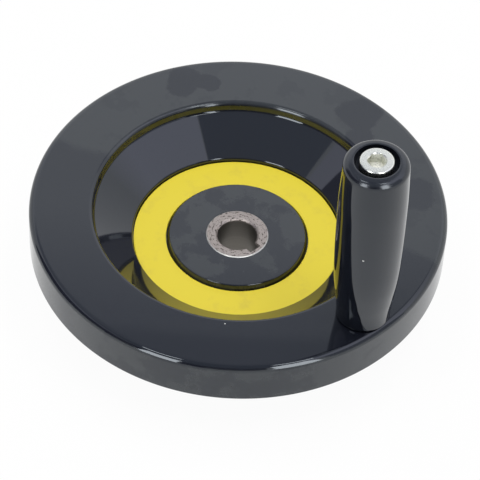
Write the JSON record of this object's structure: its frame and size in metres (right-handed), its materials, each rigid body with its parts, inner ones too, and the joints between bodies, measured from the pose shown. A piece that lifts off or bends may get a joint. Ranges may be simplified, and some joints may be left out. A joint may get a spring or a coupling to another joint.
{
  "type": "machine handwheel",
  "caption": "Dished round handwheel with a keyed steel hub bush, a coloured ring around the hub and a barrel grip that turns on a spindle at the rim.",
  "frame": {"origin": "on the shaft axis at the rear face of the hub, where the wheel rests", "axes": "+Z along the bore, from the rear face of the hub towards the dish and the grip; +X from the shaft axis to the grip axis and the keyway; +Y completes the right hand"},
  "size_m": [0.1263, 0.125, 0.0943],
  "materials": {
    "black_moulding": "polished black phenolic moulding",
    "black_grip": "polished black phenolic moulding",
    "ring_yellow": "matte yellow plastic",
    "bush_steel": "turned steel with dark specks",
    "spindle_zinc": "bright zinc plate",
    "insert_brass": "machined brass"
  },
  "bodies": {
    "wheel": {"wheel_body": "black_moulding", "hub_bush": "bush_steel", "colour_ring": "ring_yellow", "handle_insert": "insert_brass", "handle_spindle": "spindle_zinc"},
    "grip": {"handle_grip": "black_grip"}
  },
  "joints": [
    {"name": "grip_spin", "type": "hinge", "parent": "wheel", "child": "grip", "pos_m": [0.0539, 0, 0.062], "axis": [0, 0, 1], "continuous": true}
  ]
}
